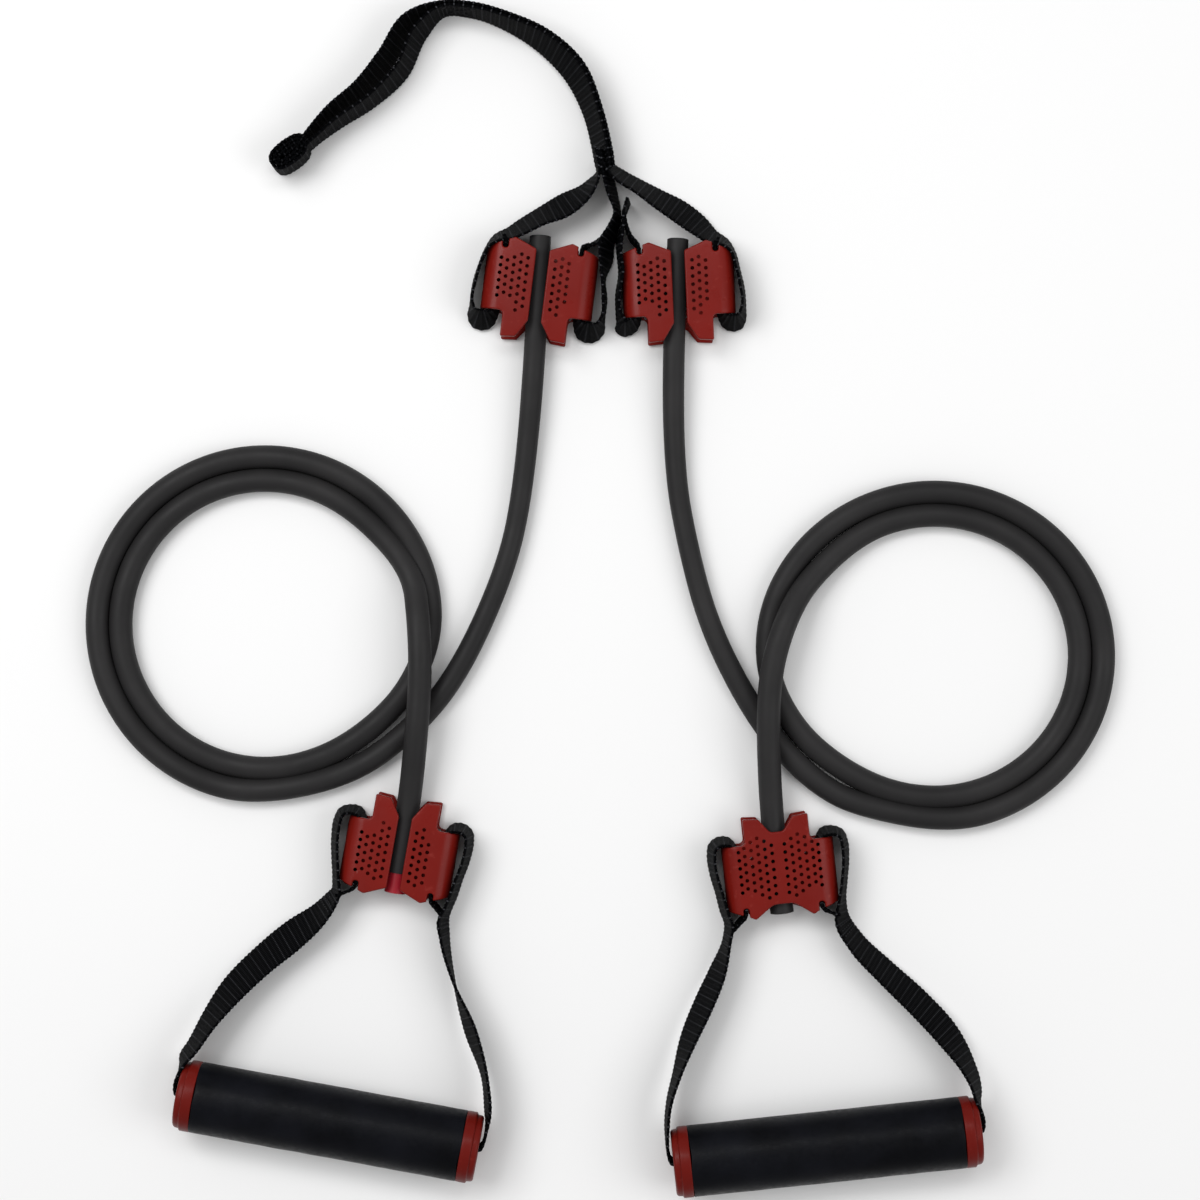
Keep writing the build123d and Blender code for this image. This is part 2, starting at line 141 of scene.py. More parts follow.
def moulded_plastic(name, deep, light, roughness, gloss):
    """Satin moulded plastic: soft colour drift, faint orange peel, small paler scuffs."""
    look = Shading(name, deep, roughness,
                   Specular_IOR_Level=gloss, Coat_Weight=0.04, Coat_Roughness=0.16)
    drift = look.spread(look.noise(38.0, 4.0), 0.35, 0.7)
    body = look.mix(drift, deep, tuple(channel * DRIFT for channel in deep))
    scuff = look.spread(look.noise(310.0, 6.0), 0.62, 0.78, 0.0, 0.35)
    look.colour(look.mix(scuff, body, light))
    look.rough(look.spread(look.noise(120.0, 3.0), 0.3, 0.7, roughness - 0.05, roughness + 0.08))
    look.bump(look.noise(900.0, 2.0), 0.00004, 0.35)
    return look.material


def tube_rubber():
    """Matte charcoal latex tube with a dusty bloom and a fine grain."""
    look = Shading("tube_rubber", (0.02, 0.0195, 0.02), 0.5, Specular_IOR_Level=0.14)
    bloom = look.spread(look.noise(26.0, 5.0), 0.35, 0.72)
    look.colour(look.mix(bloom, (0.0165, 0.016, 0.0165), (0.025, 0.024, 0.0245)))
    look.rough(look.spread(look.noise(70.0, 4.0), 0.3, 0.7, 0.44, 0.62))
    look.bump(look.noise(1500.0, 3.0), 0.00003, 0.5)
    look.bump(look.noise(160.0, 2.0), 0.0001, 0.25)
    return look.material


def grip_rubber():
    """Blue-black foam rubber sleeve with a fine ground grain."""
    look = Shading("grip_rubber", (0.0036, 0.004, 0.0056), 0.42, Specular_IOR_Level=0.075)
    cloud = look.spread(look.noise(45.0, 5.0), 0.35, 0.7)
    look.colour(look.mix(cloud, (0.0018, 0.002, 0.003), (0.0046, 0.005, 0.0074)))
    look.rough(look.spread(look.noise(420.0, 4.0), 0.3, 0.7, 0.32, 0.5))
    look.bump(look.noise(1400.0, 4.0), 0.0001, 0.55)
    look.bump(look.noise(240.0, 2.0), 0.00018, 0.25)
    return look.material


ROW_PITCH = 2.2 * MM     # along the webbing, from one weft row to the next
YARN_PITCH = 1.05 * MM   # across it, from one warp yarn to the next
FAINT_ROW = 0.2          # painted highlight on every second weft row, next to 1 on the others
# the yarn's own black, and the painted highlight on its raised knuckles
YARN_DARK, YARN_HIGHLIGHT = (0.0008, 0.0009, 0.0013), (0.075, 0.077, 0.086)


def woven_webbing():
    """Black polypropylene webbing with painted highlights on the weft's raised knuckles. Its UV is
    in metres: across the strap, then along it.
    """
    look = Shading("webbing", (0.004, 0.004, 0.005), 0.6, Specular_IOR_Level=0.03)
    split = look.tree.nodes.new("ShaderNodeSeparateXYZ")
    look.link(look.coords.outputs["UV"], split.inputs["Vector"])
    along = look.math("MULTIPLY", split.outputs["Y"], tau / ROW_PITCH)
    across = look.math("MULTIPLY", split.outputs["X"], tau / YARN_PITCH)
    row = look.math("COSINE", along)
    yarn = look.math("COSINE", across)
    rows = look.math("DIVIDE", split.outputs["Y"], ROW_PITCH)
    row_index = look.math("FLOOR", look.math("ADD", rows, 0.5))
    odd = look.math("MODULO", row_index, 2.0)
    sign = look.math("SUBTRACT", 1.0, look.math("MULTIPLY", odd, 2.0))   # 1 and -1 on rows in turn
    knuckle = look.math("MULTIPLY", yarn, sign)
    # weft, dot and light build the painted highlight on the weft's raised knuckles
    weft = look.spread(row, 0.5, 0.95)
    dot = look.math("MULTIPLY", weft, look.spread(knuckle, 0.1, 0.85))
    dot = look.math("MULTIPLY", dot, look.spread(sign, -1.0, 1.0, FAINT_ROW, 1.0))
    fuzz = look.spread(look.noise(900.0, 3.0), 0.35, 0.7, 0.55, 1.0)
    light = look.math("MULTIPLY", dot, fuzz)
    # patches where the painted highlight is weaker
    highlight_patches = look.spread(look.noise(30.0, 3.0), 0.35, 0.7, 0.6, 1.0)
    look.colour(look.mix(look.math("MULTIPLY", light, highlight_patches), YARN_DARK, YARN_HIGHLIGHT))
    look.rough(look.spread(light, 0.0, 1.0, 0.62, 0.48))
    row_relief = look.math("MULTIPLY", row, 0.5)
    relief = look.math("ADD", row_relief, look.math("MULTIPLY", knuckle, 0.35))
    look.bump(relief, 0.00028, 0.8)
    look.bump(look.noise(2600.0, 2.0), 0.00005, 0.6)
    return look.material


def spun_thread():
    """Black sewing thread, mottled as its twist is."""
    look = Shading("thread", (0.008, 0.008, 0.0095), 0.55, Specular_IOR_Level=0.12)
    twist = look.spread(look.noise(1800.0, 2.0), 0.3, 0.7)
    look.colour(look.mix(twist, (0.0045, 0.0045, 0.0055), (0.016, 0.016, 0.018)))
    look.bump(look.noise(2600.0, 2.0), 0.00005, 0.7)
    return look.material


RED = moulded_plastic("red_plastic", (0.152, 0.0075, 0.0048), (0.3, 0.045, 0.035), 0.3, 0.13)
CAP_RED = moulded_plastic("cap_plastic", (0.118, 0.0062, 0.0038), (0.24, 0.03, 0.022), 0.36, 0.09)
PLUG_RED = moulded_plastic("plug_plastic", (0.27, 0.009, 0.018), (0.42, 0.07, 0.08), 0.36, 0.22)
CORE_GREY = moulded_plastic("core_plastic", (0.02, 0.02, 0.021), (0.05, 0.05, 0.05), 0.5, 0.15)
TUBE = tube_rubber()
GRIP = grip_rubber()
WEBBING = woven_webbing()
THREAD = spun_thread()


# --------------------------------------------------------------- mesh helpers

def add_object(name, data, surface):
    """A linked object with its one material."""
    piece = bpy.data.objects.new(name, data)
    bpy.context.scene.collection.objects.link(piece)
    data.materials.append(surface)
    return piece


def mesh_piece(name, corners, faces, surface, uvs=None):
    """A smooth-shaded mesh with one UV for each corner point."""
    mesh = bpy.data.meshes.new(name)
    mesh.from_pydata(corners, [], faces)
    if uvs:
        layer = mesh.uv_layers.new(name="UVMap")
        for loop in mesh.loops:
            layer.data[loop.index].uv = uvs[loop.vertex_index]
    mesh.polygons.foreach_set("use_smooth", [True] * len(mesh.polygons))
    work = bmesh.new()
    work.from_mesh(mesh)
    bmesh.ops.recalc_face_normals(work, faces=work.faces)
    work.to_mesh(mesh)
    work.free()
    return add_object(name, mesh, surface)


FILLET_STEPS = 5
LONG_SIDE = 20           # a side of an outline longer than this is divided
WOBBLE_SCALE = 0.11      # patches of unevenness to the mm


def rounded_profile(corners):
    """Closed outline through corners (radius, height, fillet), curved at each filleted one."""
    points = []
    for index, (x, y, fillet) in enumerate(corners):
        here = Vector((x, y))
        if fillet == 0:
            points.append(here)
            continue
        before = Vector(corners[index - 1][:2]) - here
        after = Vector(corners[(index + 1) % len(corners)][:2]) - here
        start, end = here + before.normalized() * fillet, here + after.normalized() * fillet
        for step in range(FILLET_STEPS + 1):
            t = step / FILLET_STEPS
            points.append(start * (1 - t) ** 2 + here * 2 * t * (1 - t) + end * t ** 2)
    return points


def turned(name, corners, place, surface, segments=96, divisions=1, wobble=0.0):
    """A ring turned about the local Z axis from a closed outline.
    Each long side is cut into `divisions` parts, and wobble is the depth of a soft unevenness."""
    outline = rounded_profile(corners)
    divided = []
    for index, here in enumerate(outline):
        after = outline[(index + 1) % len(outline)]
        parts = divisions if (after - here).length > LONG_SIDE else 1
        divided += [here.lerp(after, part / parts) for part in range(parts)]
    points, faces = [], []
    for segment in range(segments):
        angle = tau * segment / segments
        for radius, height in divided:
            local = Vector((radius * cos(angle), radius * sin(angle), height))
            if wobble:
                local *= 1.0 + wobble / radius * noise.noise(local * WOBBLE_SCALE)
            points.append(place @ (local * MM))
    count = len(divided)
    for segment in range(segments):
        after = (segment + 1) % segments
        for index in range(count):
            beside = (index + 1) % count
            faces.append((segment * count + index, segment * count + beside,
                          after * count + beside, after * count + index))
    return mesh_piece(name, points, faces, surface)


# ------------------------------------------------------------------ pocket frames

# centre x and y, turn about Z in degrees, and whether the back panel faces up
POCKETS = {
    "left_upper": (-20.3, 142.4, -7.0, False),
    "right_upper": (45.5, 141.9, 2.5, False),
    "left_lower": (-84.7, -118.2, 170.0, False),
    "right_lower": (92.4, -126.4, 186.0, True),
}


def on_pocket(name, u, v):
    """World x and y of a point of a pocket: u across it, v towards its notched end."""
    x, y, turn, back_up = POCKETS[name]
    angle = radians(turn)
    across = -u if back_up else u
    return x + across * cos(angle) - v * sin(angle), y + across * sin(angle) + v * cos(angle)


# ------------------------------------------------------------------------ webbing

class Strip:
    """Webbing along stations (x, y, z, lean, width). Lean is in degrees: 0 stands on edge, and a
    positive lean tips the top edge to the right of the way the strip runs."""

    STEP = ROW_PITCH / 5     # from one row of points to the next
    BETWEEN = 24             # parts between two stations, before the even steps are read off
    FLOOR_GAP = 0.15
    SCALLOP = 0.00045        # metres, how far the selvedge draws in between two weft rows
    RIB = 0.2                # share of the thickness that a weft row stands out by
    # half of the cross-section: share of the half width, share of the half thickness
    SECTION = [(0.0, 1.0), (0.16, 1.0), (0.32, 1.0), (0.48, 1.0), (0.64, 1.0), (0.8, 1.0),
               (0.93, 0.97), (0.985, 0.7), (1.0, 0.0)]

    def __init__(self, name, stations, offset=0.0):
        self.name = name
        self.rows = []
        self.read_rows([Vector(station) for station in stations], offset)

    def read_rows(self, stations, offset):
        """Smooth line through the stations, read off at equal steps."""
        gaps = [max(distance(a, b), 0.1) for a, b in zip(stations, stations[1:])]
        slopes = []
        for index in range(len(stations)):
            first, last = max(index - 1, 0), min(index + 1, len(stations) - 1)
            if first == index or last == index:
                slopes.append((stations[last] - stations[first]) / gaps[first])
                continue
            before, after = gaps[index - 1], gaps[index]
            rise = (stations[last] - stations[index]) / after * before
            rise += (stations[index] - stations[first]) / before * after
            slopes.append(rise / (before + after))
        dense = []
        for index, gap in enumerate(gaps):
            for part in range(self.BETWEEN):
                t = part / self.BETWEEN
                dense.append(
                    stations[index] * (2 * t ** 3 - 3 * t ** 2 + 1)
                    + slopes[index] * gap * (t ** 3 - 2 * t ** 2 + t)
                    + stations[index + 1] * (-2 * t ** 3 + 3 * t ** 2)
                    + slopes[index + 1] * gap * (t ** 3 - t ** 2)
                )
        dense.append(stations[-1])
        even = evenly(dense, self.STEP / MM)
        for index, row in enumerate(even):
            before, after = even[max(index - 1, 0)], even[min(index + 1, len(even) - 1)]
            heading = (Vector(after[:3]) - Vector(before[:3])).normalized()
            upright = (Vector((0, 0, 1)) - heading * heading.z).normalized()
            right = heading.cross(upright)
            lean, width = radians(row[3]), row[4]
            width_way = upright * cos(lean) + right * sin(lean)
            thick_way = heading.cross(width_way)
            centre = Vector(row[:3]) + thick_way * offset
            lowest = width / 2 * abs(width_way.z) + WEB_THICK / 2 * abs(thick_way.z)
            centre.z = max(centre.z, lowest + self.FLOOR_GAP)
            self.rows.append((centre * MM, width_way, thick_way, width * MM, index * self.STEP))

    def build(self, surface, slot):
        """Closed mesh with a raised weft row at every pitch and a scalloped selvedge."""
        upper = [(-a, h) for a, h in reversed(self.SECTION)] + self.SECTION[1:]
        lower = [(a, -h) for a, h in reversed(upper[1:-1])]
        section = upper + lower
        points, faces, uvs = [], [], []
        for centre, width_way, thick_way, width, along in self.rows:
            wave = 0.5 + 0.5 * cos(tau * along / ROW_PITCH)
            half = width / 2 - self.SCALLOP * (1 - wave)
            thick = WEB_THICK * MM / 2 * (1 - self.RIB + self.RIB * wave)
            for share, height in section:
                points.append(centre + width_way * (share * half) + thick_way * (height * thick))
                uvs.append((share * half, along))
        count = len(section)
        for row in range(len(self.rows) - 1):
            for index in range(count):
                beside = (index + 1) % count
                faces.append((row * count + index, row * count + beside,
                              (row + 1) * count + beside, (row + 1) * count + index))
        faces.append(tuple(range(count)))
        last = (len(self.rows) - 1) * count
        faces.append(tuple(last + index for index in reversed(range(count))))
        return mesh_piece(self.name, points, faces, surface, uvs)

    def spot(self, along, share, face):
        """A place on a face (+1 or -1), `along` mm from the start and at a share of the half
        width, with the directions on along the strip, across it and out of it."""
        index = min(int(along * MM / self.STEP), len(self.rows) - 2)
        centre, width_way, thick_way, width, _ = self.rows[index]
        ahead = (self.rows[index + 1][0] - centre).normalized()
        place = centre + width_way * (share * width / 2) + thick_way * (face * WEB_THICK * MM / 2)
        return place, ahead, width_way, thick_way * face

    def nearest(self, point):
        """How far along the strip, in mm, it passes nearest a point (x, y)."""
        aim = Vector((*point, 0)) * MM
        flat = [Vector((centre.x, centre.y, 0)) for centre, *_ in self.rows]
        index = min(range(len(flat)), key=lambda row: (flat[row] - aim).length)
        return self.rows[index][4] / MM


def distance(first, second):
    """Between the places of two stations, whatever their lean and width."""
    return (Vector(second[:3]) - Vector(first[:3])).length


def evenly(points, step):
    """Points read off a dense line at equal steps."""
    result, carried = [points[0]], 0.0
    for first, second in zip(points, points[1:]):
        gap = distance(first, second)
        while gap > 0 and carried + gap >= step:
            t = (step - carried) / gap
            first = first.lerp(second, t)
            result.append(first)
            gap = distance(first, second)
            carried = 0.0
        carried += gap
    return result


STITCH_PITCH = 2.3 * MM
STITCH_HALVES = (1.0 * MM, 0.34 * MM, 0.34 * MM)   # half a stitch's length, width and height


def sew(name, strip, lines):
    """Lock stitches on a strip: each line is (from mm, to mm, from share, to share, face)."""
    work = bmesh.new()
    for start, end, first_share, last_share, face in lines:
        first = strip.spot(start, first_share, face)[0]
        last = strip.spot(end, last_share, face)[0]
        count = max(int((last - first).length / STITCH_PITCH), 1)
        for index in range(count):
            t = (index + 0.5) / count
            along = start + (end - start) * t
            share = first_share + (last_share - first_share) * t
            place, ahead, width_way, outward = strip.spot(along, share, face)
            sideways = (last_share - first_share) * WEB_WIDTH / 2
            run = (ahead * (end - start) + width_way * sideways).normalized()
            side = outward.cross(run)
            turn = Matrix((run, side, outward)).transposed().to_4x4()
            size = Matrix.Diagonal((*STITCH_HALVES, 1.0))
            bmesh.ops.create_uvsphere(work, u_segments=8, v_segments=6, radius=1.0,
                                      matrix=Matrix.Translation(place) @ turn @ size)
    mesh = bpy.data.meshes.new(name)
    work.to_mesh(mesh)
    work.free()
    mesh.polygons.foreach_set("use_smooth", [True] * len(mesh.polygons))
    return add_object(name, mesh, THREAD)


# reach of each loop's outer run on +u and -u
REACH = {
    "left_upper": (31.2, 30.6),
    "right_upper": (30.0, 28.6),
    "left_lower": (31.6, 31.0),
    "right_lower": (31.6, 31.0),
}
# v of the middle of each loop's curl, and how far the strip tips inwards there in degrees
CURL = {
    "left_upper": (-15.7, 24.0),
    "right_upper": (-14.5, 18.0),
    "left_lower": (-13.3, 8.0),
    "right_lower": (-13.3, 8.0),
}
# how far a loop tips inwards beside the pocket on +u and -u, in degrees
RUN_LEAN = {
    "left_upper": (5.0, 6.0),
    "right_upper": (8.0, 5.0),
    "left_lower": (13.0, 8.0),
    "right_lower": (12.0, 8.0),
}


def loop_stations(name, side):
    """The part of a strip round one side of a pocket, from the shoulder to the notch.
    side is +1 for +u and -1 for -u, as seen on the pocket."""
    column = 0 if side > 0 else 1
    reach, run_lean = REACH[name][column], RUN_LEAN[name][column]
    deep, curl = CURL[name]
    return on_side(name, side, [
        (reach - 2.0, 11.0, run_lean, WEB_WIDTH),
        (reach - 0.2, 1.0, run_lean, WEB_WIDTH),
        (reach, deep + 6.0, run_lean, WEB_WIDTH),
        (reach - 0.9, deep + 2.2, 0.5 * (run_lean + curl), WEB_WIDTH),
        (27.4, deep + 0.1, curl, WEB_WIDTH),
        (22.4, deep + 0.4, curl, 17.4),
        (19.6, deep + 3.4, 0.5 * curl, 13.8),
        (18.5, -3.0, 0, 13.2),
        (18.0, 10.0, 0, 13.2),
        (17.7, 16.8, 0, 15.0),
        (17.7, 20.0, 0, 18.2),
    ])


def on_side(name, side, path):
    """Stations (u, v, lean, width) beside a pocket, given for its +u side."""
    inwards = -side if POCKETS[name][3] else side
    return [(*on_pocket(name, side * u, v), MID, inwards * lean, width)
            for u, v, lean, width in path]


# beside a pocket as (u, v, lean, width): from the arm round the corner to the loop
SHOULDER = {
    ("left_upper", -1): [(22.7, 22.7, 17, WEB_WIDTH), (26.0, 18.6, 9, WEB_WIDTH)],
    ("left_upper", 1): [(29.4, 19.8, 19, WEB_WIDTH)],
    ("right_upper", -1): [(27.0, 19.6, 4, WEB_WIDTH)],
    ("right_upper", 1): [(22.7, 22.7, 18, WEB_WIDTH), (26.0, 18.6, 10, WEB_WIDTH)],
    ("left_lower", -1): [(26.2, 25.6, 9, WEB_WIDTH), (27.6, 19.6, 9, WEB_WIDTH)],
    ("left_lower", 1): [(26.6, 26.6, 17, WEB_WIDTH), (27.6, 20.0, 13, WEB_WIDTH)],
    ("right_lower", -1): [(26.2, 25.6, 9, WEB_WIDTH), (27.6, 19.6, 9, WEB_WIDTH)],
    ("right_lower", 1): [(27.6, 20.6, 15, WEB_WIDTH)],
}
# from the notch to where the strip is sewn onto its own arm
RETURN = {
    ("left_upper", -1): [(17.8, 22.4, 0, 18.4), (18.8, 24.6, 6, 17.6)],
    ("left_upper", 1): [(18.1, 22.6, 0, 18.2), (22.4, 25.4, 8, 17.8), (27.6, 28.4, 18, 17.6)],
    ("right_upper", -1): [(18.2, 22.6, 0, 18.2), (21.4, 27.0, 0, 17.8), (23.3, 32.6, 0, 17.6),
                          (24.0, 38.0, 0, 17.6)],
    ("right_upper", 1): [(17.8, 22.4, 0, 18.4), (18.8, 24.6, 6, 17.6)],
    ("left_lower", -1): [(18.2, 22.0, 0, 18.2), (21.0, 24.6, 0, 17.8), (24.8, 28.0, 0, 17.6)],
    ("left_lower", 1): [(18.2, 22.0, 0, 18.2), (21.0, 24.4, 2, 17.8), (25.6, 27.4, 6, 17.6)],
    ("right_lower", -1): [(18.2, 22.0, 0, 18.2), (21.0, 24.6, 0, 17.8), (24.8, 28.0, 0, 17.6)],
    ("right_lower", 1): [(18.2, 22.0, 0, 18.2), (21.0, 24.0, 2, 17.8), (25.6, 26.6, 8, 17.6)],
}


def full_width(*stations):
    """Stations given as (x, y, z, lean)."""
    return [(*station, WEB_WIDTH) for station in stations]


def at_mid(*stations):
    """Stations given as (x, y, lean)."""
    return full_width(*[(x, y, MID, lean) for x, y, lean in stations])


# arms of the harness: stations from the knot to the pocket's shoulder
HARNESS = {
    ("left_upper", -1): at_mid(
        (9.4, 209.0, 20), (8.8, 202.6, 8), (6.0, 196.0, -14),
        (2.3, 190.8, -26), (-8.4, 183.1, -42),
        (-19.6, 177.7, -33), (-27.0, 173.6, -30),
        (-33.2, 170.2, -25),
    ),
    ("left_upper", 1): at_mid(
        (10.2, 209.0, 20), (11.6, 200.0, 16), (14.2, 188.8, 15),
        (16.6, 178.4, 9), (14.2, 171.0, 14), (11.6, 164.8, 21),
    ),
    ("right_upper", 1): at_mid(
        (11.0, 209.0, 20), (12.8, 202.2, 18), (18.0, 197.2, 25),
        (27.0, 191.8, 28), (36.1, 186.1, 35), (45.7, 180.3, 41),
        (53.6, 174.5, 39), (61.0, 168.5, 28),
    ),
    ("right_upper", -1): at_mid(
        (21.8, 185.4, 4), (19.8, 179.0, 2),
        (18.9, 173.0, -3), (17.7, 166.6, -7),
    ),
}
HARNESS_NODE = {
    ("left_upper", 1): "harness_centre_left_strip",
    ("left_upper", -1): "harness_left_arm",
    ("right_upper", 1): "harness_right_arm",
    ("right_upper", -1): "harness_centre_right_strip",
}

# arms of the grip straps: stations from beside the grip's cap to the pocket
STRAPS = {
    ("left_lower", 1): full_width(
        (-181.9, -211.1, 15.6, 20),
        (-174.1, -198.5, 13.6, 28), (-163.6, -184.6, 11.6, 40),
        (-149.6, -170.9, 10.0, 44), (-135.6, -159.5, 9.6, 46),
        (-123.2, -149.5, MID, 31), (-117.6, -142.9, MID, 22),
    ),
    ("left_lower", -1): full_width(
        (-45.0, -226.6, 15.6, 11), (-52.1, -203.6, 13.0, 21),
        (-60.1, -180.6, 11.0, 3), (-64.4, -160.2, 10.0, -9),
        (-64.9, -151.6, 9.7, -12),
    ),
    ("right_lower", 1): full_width(
        (183.4, -227.4, 15.9, -20),
        (180.2, -219.9, 15.0, -25), (171.3, -206.0, 13.0, -38),
        (158.1, -191.5, 11.0, -39), (142.4, -176.7, 10.0, -34),
        (128.3, -162.3, 9.7, -28), (122.1, -151.7, MID, -24),
    ),
    ("right_lower", -1): full_width(
        (40.6, -238.1, 16.2, 3), (44.4, -224.1, 15.0, 7),
        (49.9, -207.8, 13.0, 19), (57.3, -191.1, 11.4, 24),
        (63.5, -177.0, 10.2, 20), (68.2, -161.5, 9.7, 7),
    ),
}
# outer and inner end of each grip's axis
AXLES = {
    "left": ((-187.6, -232.5), (-48.1, -258.1)),
    "right": ((185.1, -249.6), (42.7, -264.7)),
}


# out of a grip's bore and over its cap: out along the axis, up the face, share of the arm's
# lean that the strip has taken by then, width
CAP_PATH = [
    (-12.0, 0.0, 0.0, 16.6), (-3.0, 0.0, 0.0, 16.8), (0.9, 1.2, 0.0, 17.4),
    (1.9, 5.0, 0.0, 18.2), (1.9, 10.0, 0.2, WEB_WIDTH), (1.4, 15.6, 0.75, WEB_WIDTH),
]


def over_cap(hand, outer, lean):
    """Stations from inside a grip's bore, out of its end and over the cap's face to the rim,
    where the strip begins to take the arm's lean."""
    ends = [Vector((*place, AXLE_HEIGHT)) for place in AXLES[hand]]
    here, other = ends if outer else reversed(ends)
    outward = (here - other).normalized()
    radial = Vector((-outward.y, outward.x, 0))
    radial *= 1 if radial.y > 0 else -1
    return [(*(here + outward * out + radial * up), share * lean, width)
            for out, up, share, width in CAP_PATH]


def pocket_strip(pocket, side, arm):
    """One strip from its far end, round one side of a pocket and back out of the notch."""
    name = pocket + ("_webbing_a" if side > 0 else "_webbing_b")
    around = on_side(pocket, side, SHOULDER[pocket, side]) + loop_stations(pocket, side)
    return Strip(name, arm + around + on_side(pocket, side, RETURN[pocket, side]))


def across_fold(piece):
    """Bakes the world placement into the mesh of a piece between a pocket and the body its webbing
    runs on to.
    """
    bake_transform(piece)


# where the bar tacks are, as u and v on the pocket, and how much of the half width they span
HARNESS_TACK, STRAP_TACK, TACK_REACH = (23.4, 22.4), (21.8, 35.0), 0.82
# run of the webbing inside a grip: shares of the axis, and its width there
IN_GRIP_SHARES, IN_GRIP_WIDTH = (0.08, 0.36, 0.64, 0.92), 16.4


def tack(name, strip, pocket, side, spot, spacing, bars):
    """Bar tack: short sewn rows across a strip, on both faces, nearest a spot of the pocket."""
    u, v = spot
    middle = strip.nearest(on_pocket(pocket, side * u, v))
    lines = []
    for bar in range(bars):
        along = middle + (bar - (bars - 1) / 2) * spacing
        lines += [(along, along, -TACK_REACH, TACK_REACH, face) for face in (1, -1)]
    return sew(name, strip, lines)


def harness():
    """The four harness strips, each with its loop round an upper pocket."""
    for (pocket, side), arm in HARNESS.items():
        strip = pocket_strip(pocket, side, arm)
        piece = strip.build(WEBBING, "webbing")
        across_fold(piece)
        loop_node = pocket + ("_loop_a" if side > 0 else "_loop_b")
        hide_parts(HARNESS_NODE[pocket, side], loop_node)
        tacks = tack(piece.name + "_tack", strip, pocket, side, HARNESS_TACK, spacing=2.0, bars=2)
        across_fold(tacks)
        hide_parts(pocket + "_loop_stitching")


def grip_straps():
    """The arms of both grip straps with their loops, and the run of each strap in its grip."""
    for (pocket, side), arm in STRAPS.items():
        hand = pocket.split("_")[0]
        outer = side > 0
        strip = pocket_strip(pocket, side, over_cap(hand, outer, arm[0][3]) + arm)
        piece = strip.build(WEBBING, "webbing")
        across_fold(piece)
        arm_node = hand + ("_strap_outer_arm" if outer else "_strap_inner_arm")
        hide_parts(arm_node, pocket + ("_loop_a" if outer else "_loop_b"))
        tacks = tack(piece.name + "_tack", strip, pocket, side, STRAP_TACK, spacing=2.4, bars=3)
        across_fold(tacks)
        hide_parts(pocket + "_loop_stitching")
    for hand, (outer, inner) in AXLES.items():
        ends = [Vector((*place, AXLE_HEIGHT)) for place in (outer, inner)]
        run = [ends[0].lerp(ends[1], share) for share in IN_GRIP_SHARES]
        strip = Strip(hand + "_webbing_in_grip", [(*place, 0, IN_GRIP_WIDTH) for place in run])
        piece = strip.build(WEBBING, "webbing")
        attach(piece, hand + "_strap")
        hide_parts(hand + "_strap_through_grip")


# ------------------------------------------------------------------- anchor strap

TRUNK = full_width(
    (11.4, 199.6, MID, 18), (10.6, 204.0, MID, 21), (9.1, 212.0, MID, 21),
    (5.1, 227.5, 10.0, 21), (-3.3, 245.9, 10.2, 27), (-16.3, 259.1, 10.0, 22),
    (-34.6, 269.4, 10.0, 10), (-52.1, 275.0, 10.0, 4), (-65.2, 275.6, 9.8, 4),
)
OUTER_LAYER = full_width(
    (-80.3, 268.9, 9.8, 16), (-91.6, 251.5, 9.8, 20), (-103.2, 237.7, 9.7, 15),
    (-118.2, 225.6, 9.6, 8),
) + [(-127.3, 216.2, MID, 2, 18.0), (-131.6, 210.8, MID, 0, 17.4)]
INNER_LAYER = full_width(
    (-76.4, 265.4, 9.8, 14), (-85.4, 246.9, 9.8, 14), (-99.1, 233.3, 9.7, 8),
    (-115.4, 222.4, MID, 4),
) + [(-125.7, 214.2, MID, 0, 18.0), (-131.0, 209.4, MID, 0, 17.4)]
LAYER_SPACING = 1.8
# on both sides of the anchor strap's fold, in metres
KNOT_AT, KNOT_BARS, KNOT_REACH = (9.6, 207.0), (-3.6, -1.2, 1.2, 3.6), 0.8
BOX_AT, BOX_HALF, BOX_REACH = (-58.0, 275.0), 8, 0.76   # a sewn box with a cross in it


def anchor():
    """Both layers of the anchor strap and the stitches that hold them together."""
    for name, layer, shift, nodes in (
        ("anchor_webbing_outer", OUTER_LAYER, 0.5, ("anchor_outer_layer", "harness_knot")),
        ("anchor_webbing_inner", INNER_LAYER, -0.5, ("anchor_inner_layer",)),
    ):
        strip = Strip(name, TRUNK + layer, shift * LAYER_SPACING)
        piece = strip.build(WEBBING, "webbing")
        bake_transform(piece)
        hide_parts(*nodes)
        face = 1 if shift > 0 else -1
        knot = strip.nearest(KNOT_AT)
        lines = [(knot + step, knot + step, -KNOT_REACH, KNOT_REACH, face) for step in KNOT_BARS]
        box = strip.nearest(BOX_AT)
        near, far = box - BOX_HALF, box + BOX_HALF
        shares = (-BOX_REACH, BOX_REACH)
        lines += [(near, far, share, share, face) for share in shares]
        lines += [(near, far, share, -share, face) for share in shares]
        lines += [(along, along, *shares, face) for along in (near, far)]
        thread = sew(name + "_stitches", strip, lines)
        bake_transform(thread)


STOPPER = (-136.6, 206.6, 36.0)   # centre and turn
ROLL_TURNS, ROLL_STATIONS = 3.4, 14   # turns of the roll, and stations to a turn
ROLL_HALVES = (10.2, 6.0)         # half its length and half its breadth
ROLL_STEP = (1.74, 0.97)          # how far a turn lies inside the last, and the breadth's share
ROLL_HEIGHT, ROLL_WIDTH = MID + 0.3, 18.2
ROLL_SQUARE = 0.7                 # 1 rolls it oval, and less rolls it squarer


def squarish(value):
    """Cosine or sine drawn out towards the corners of a box."""
    return abs(value) ** ROLL_SQUARE * (1 if value > 0 else -1)


